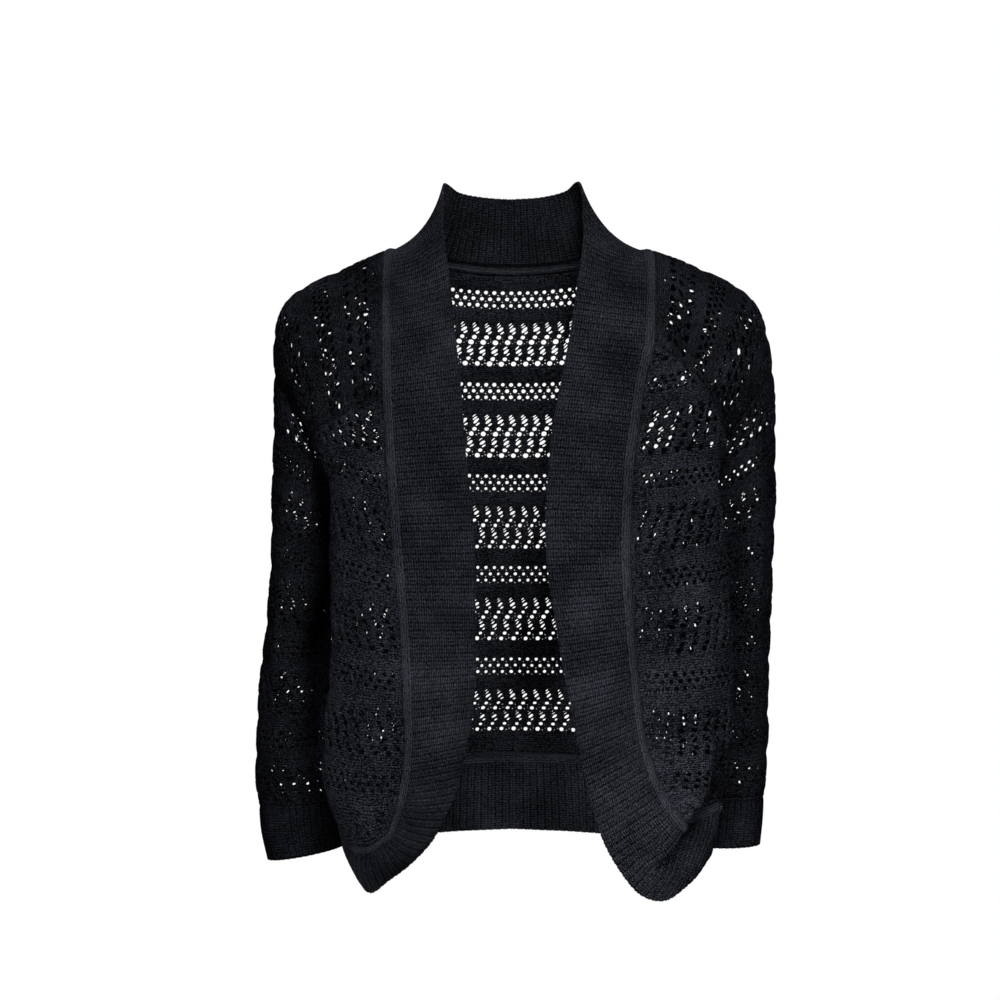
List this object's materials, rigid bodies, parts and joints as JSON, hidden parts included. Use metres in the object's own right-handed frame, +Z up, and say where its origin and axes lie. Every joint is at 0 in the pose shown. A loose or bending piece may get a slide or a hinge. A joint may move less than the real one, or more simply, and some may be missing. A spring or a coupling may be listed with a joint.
{
  "type": "open-front cardigan",
  "caption": "Cropped open-front cardigan in black pointelle knit with saddle sleeves, rib cuffs and a wide rib band round the curved fronts, neck and hem.",
  "frame": {"origin": "inside of the rib band at the centre of the back neck, where the wearer's neck holds it up", "axes": "+Z up, along the centre back from hem to neck; the open front faces -Y; +X is the wearer's left"},
  "size_m": [0.478, 0.2476, 0.6502],
  "materials": {
    "lace": "matte",
    "sleeve_lace": "matte",
    "rib": "matte"
  },
  "bodies": {
    "root": {"back_panel": "lace", "front_left": "lace", "front_right": "lace", "sleeve_left": "sleeve_lace", "sleeve_right": "sleeve_lace", "rib_band": "rib", "cuff_left": "rib", "cuff_right": "rib"}
  },
  "joints": []
}
